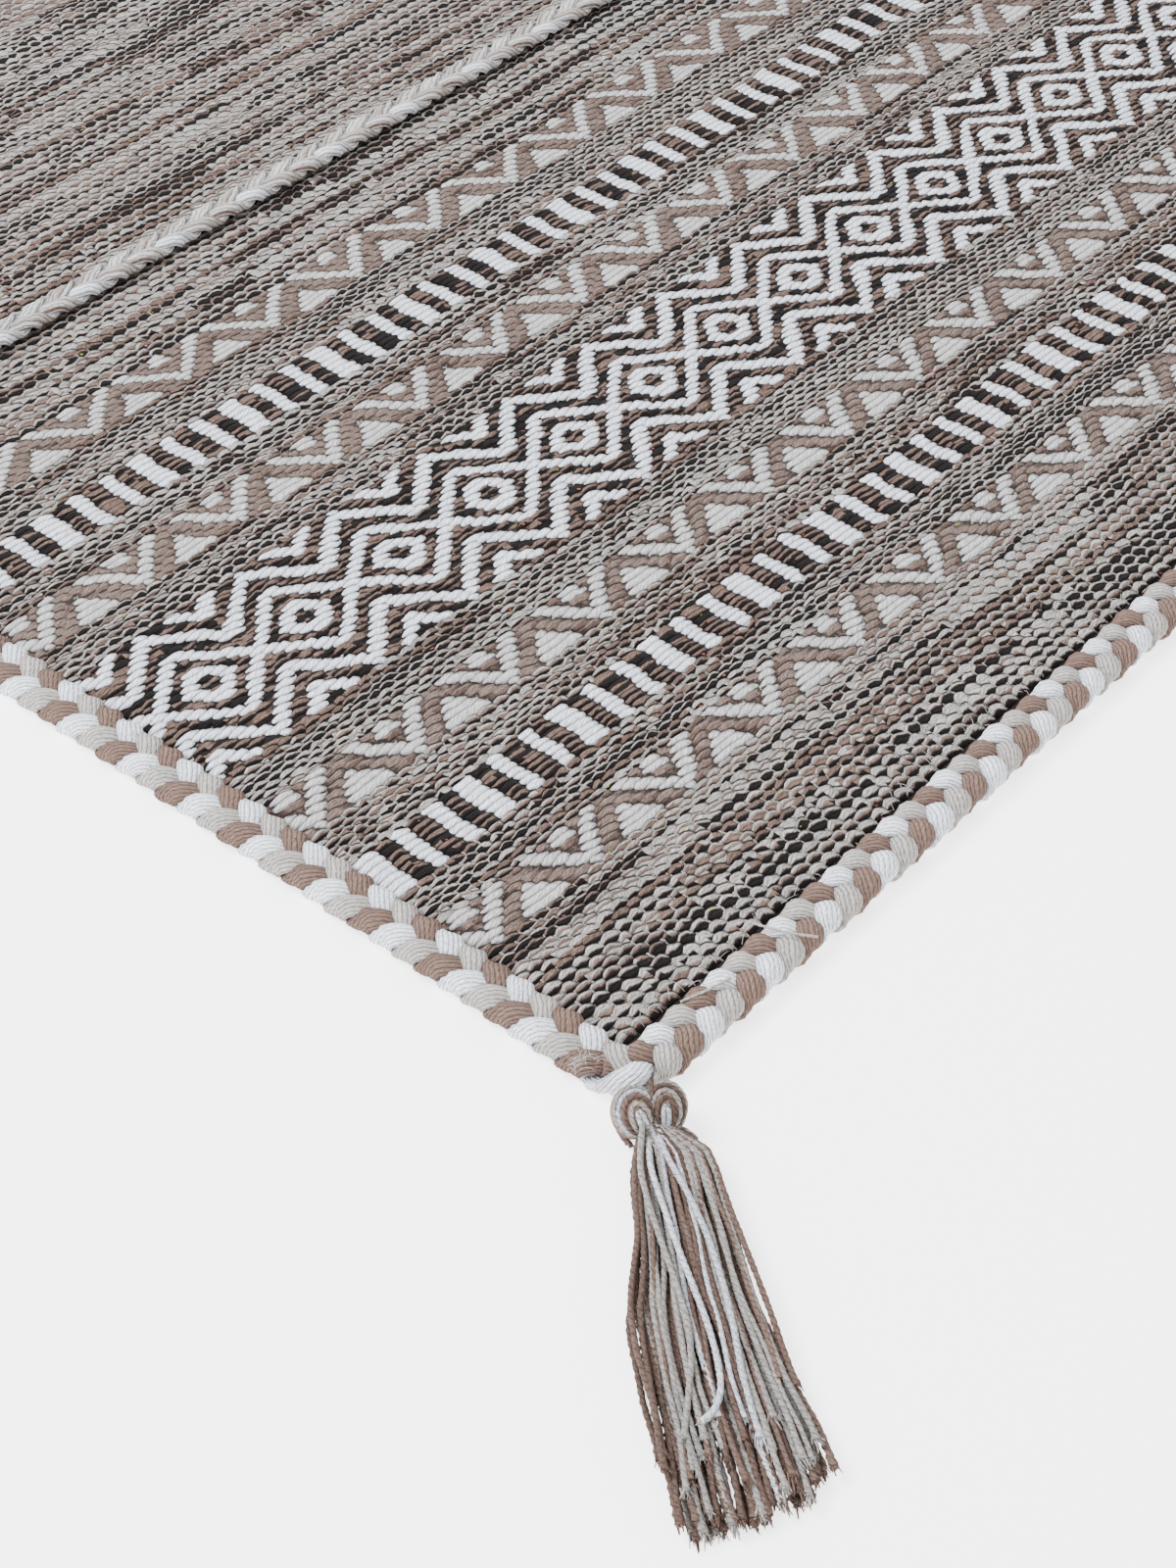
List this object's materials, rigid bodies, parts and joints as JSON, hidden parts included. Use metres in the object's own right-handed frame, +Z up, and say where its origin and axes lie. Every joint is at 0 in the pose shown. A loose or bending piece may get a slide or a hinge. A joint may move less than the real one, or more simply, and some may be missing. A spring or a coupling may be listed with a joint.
{
  "type": "kilim rug",
  "caption": "Flat-woven cotton rug with diamond, zigzag and dash bands, plaited edges, a plait sewn across it and a tassel at each corner.",
  "frame": {"origin": "centre of the underside, on the floor", "axes": "+X across the width, along the woven bands; +Y along the length, from the end seen in the picture to the other; +Z up"},
  "size_m": [1.0128, 1.7582, 0.0202],
  "materials": {
    "field_cotton": "matt woven cotton, marled brown, taupe and cream",
    "edge_cotton": "matt plaited cotton yarn",
    "plait_cotton": "matt plaited cotton yarn",
    "tassel_cotton": "matt twisted cotton yarn"
  },
  "bodies": {
    "root": {"field": "field_cotton", "braid_left": "edge_cotton", "braid_right": "edge_cotton", "braid_front": "edge_cotton", "braid_back": "edge_cotton", "applied_front": "plait_cotton", "applied_back": "plait_cotton", "tassel_front_left": "tassel_cotton", "tassel_front_right": "tassel_cotton", "tassel_back_left": "tassel_cotton", "tassel_back_right": "tassel_cotton"}
  },
  "joints": []
}
